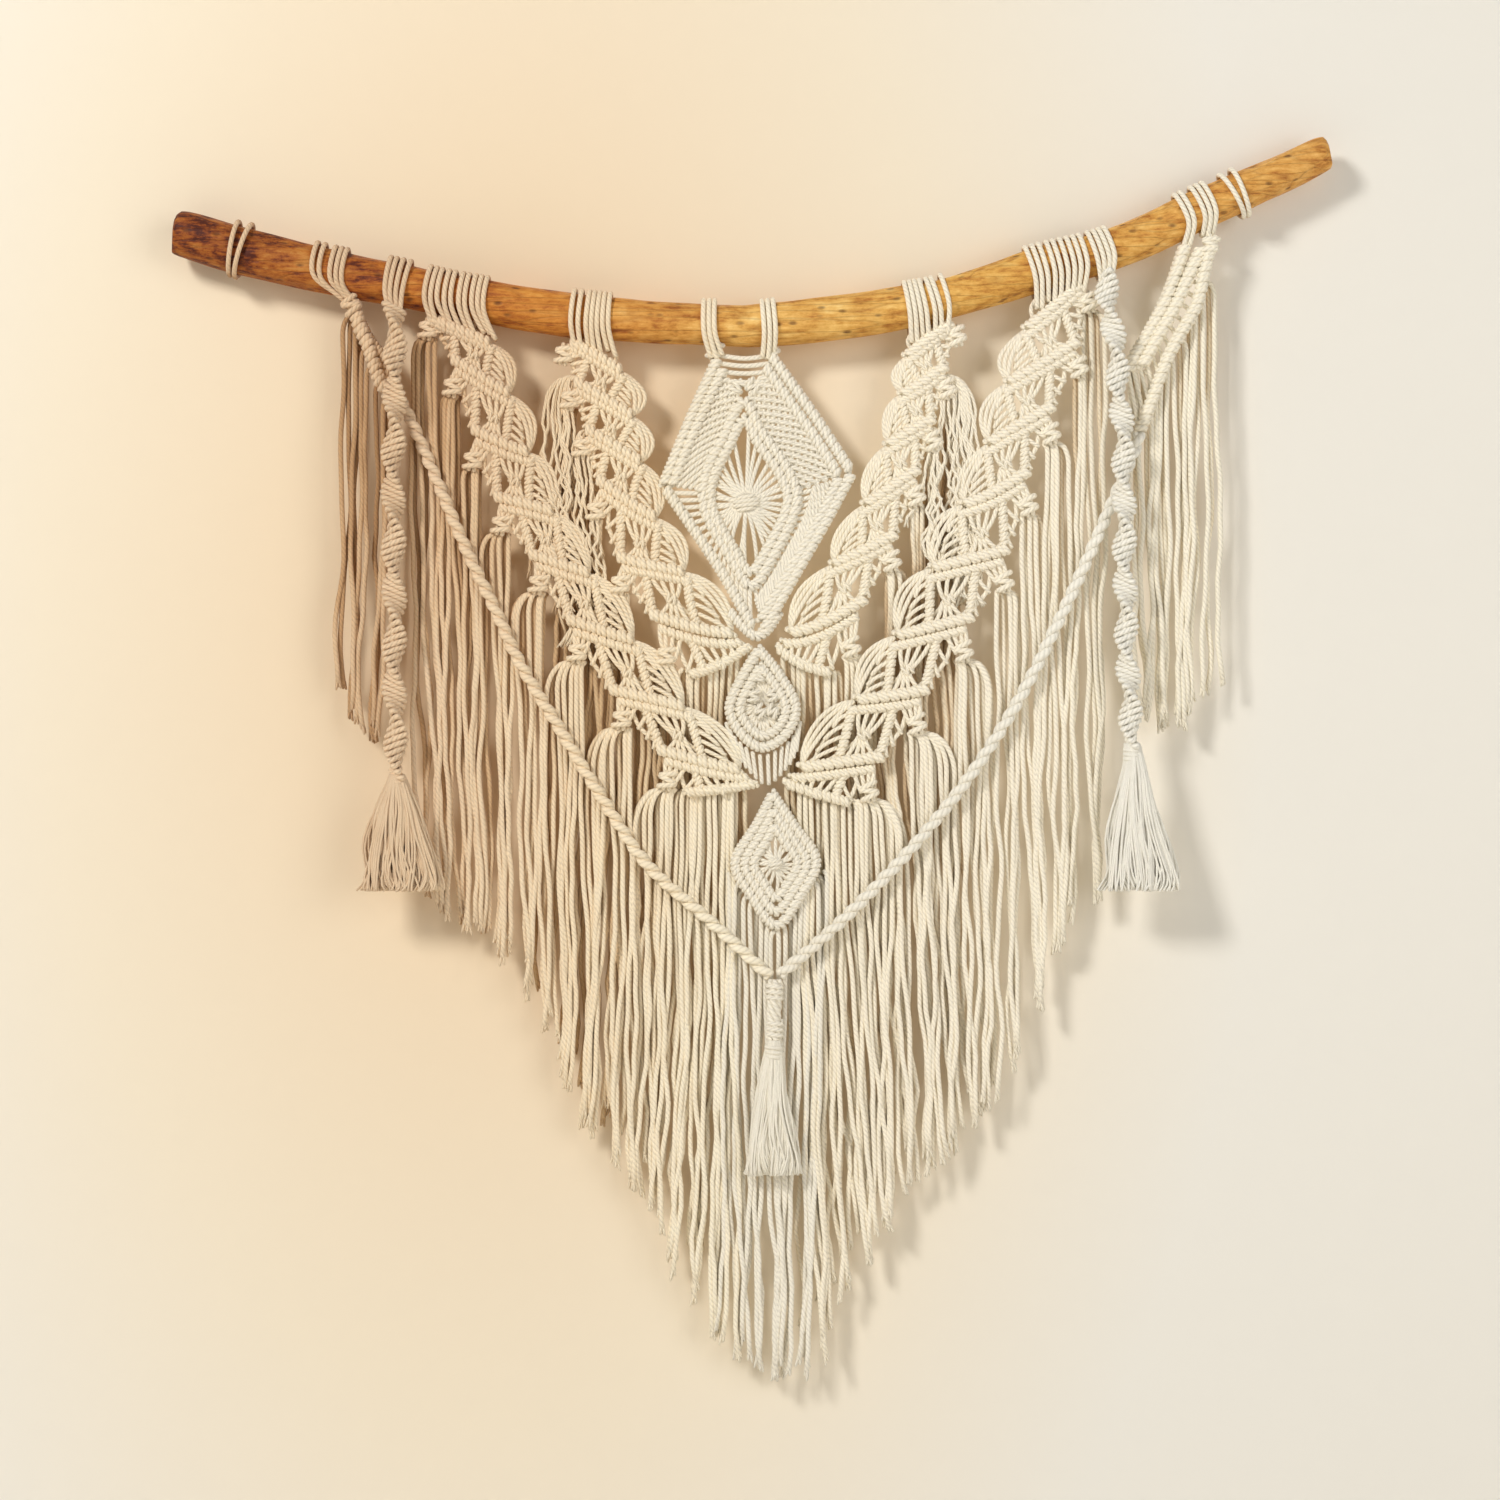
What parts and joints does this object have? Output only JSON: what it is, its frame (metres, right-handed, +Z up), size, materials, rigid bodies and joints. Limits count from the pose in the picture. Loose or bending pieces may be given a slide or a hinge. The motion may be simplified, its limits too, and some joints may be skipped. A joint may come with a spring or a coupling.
{
  "type": "macrame wall hanging on a driftwood branch",
  "caption": "Knotted cotton wall hanging with slanting lattice bands, diamond panels, swags, tassels and a V-shaped fringe, on a bowed driftwood branch.",
  "frame": {"origin": "middle of the branch, on its axis, where the wall holds the hanging", "axes": "+Z up, +Y from the front towards the wall, +X to the right seen from the front"},
  "size_m": [0.9305, 0.0608, 0.9894],
  "materials": {
    "driftwood": "smooth weathered driftwood, golden with dark cracks, red-brown at its left end",
    "cotton": "matt twisted cotton cord, natural",
    "cream_cotton": "matt twisted cotton cord, cream"
  },
  "bodies": {
    "root": {"branch": "driftwood", "hang_wrap_left": "cotton", "hang_wrap_right": "cotton", "loop_head_left": "cotton", "loop_head_right": "cotton", "loop_spiral_left": "cotton", "loop_spiral_right": "cotton", "loop_outer_left": "cotton", "loop_outer_right": "cotton", "loop_inner_left": "cotton", "loop_inner_right": "cotton", "loop_panel_left": "cotton", "loop_panel_right": "cotton", "head_band_left": "cotton", "head_band_right": "cotton", "end_fringe_left": "cotton", "end_fringe_right": "cotton", "outer_band_left": "cotton", "outer_band_right": "cotton", "inner_band_left": "cotton", "inner_band_right": "cotton", "outer_fringe_left": "cotton", "outer_fringe_right": "cotton", "inner_fringe_left": "cotton", "inner_fringe_right": "cotton", "diamond_panel": "cream_cotton", "diamond_small": "cream_cotton", "diamond_lower": "cream_cotton", "centre_fringe": "cream_cotton", "spiral_left": "cotton", "spiral_right": "cream_cotton", "tassel_left": "cotton", "tassel_right": "cream_cotton", "swag_left": "cotton", "swag_right": "cream_cotton", "swag_tail": "cream_cotton", "swag_tassel": "cream_cotton"}
  },
  "joints": []
}
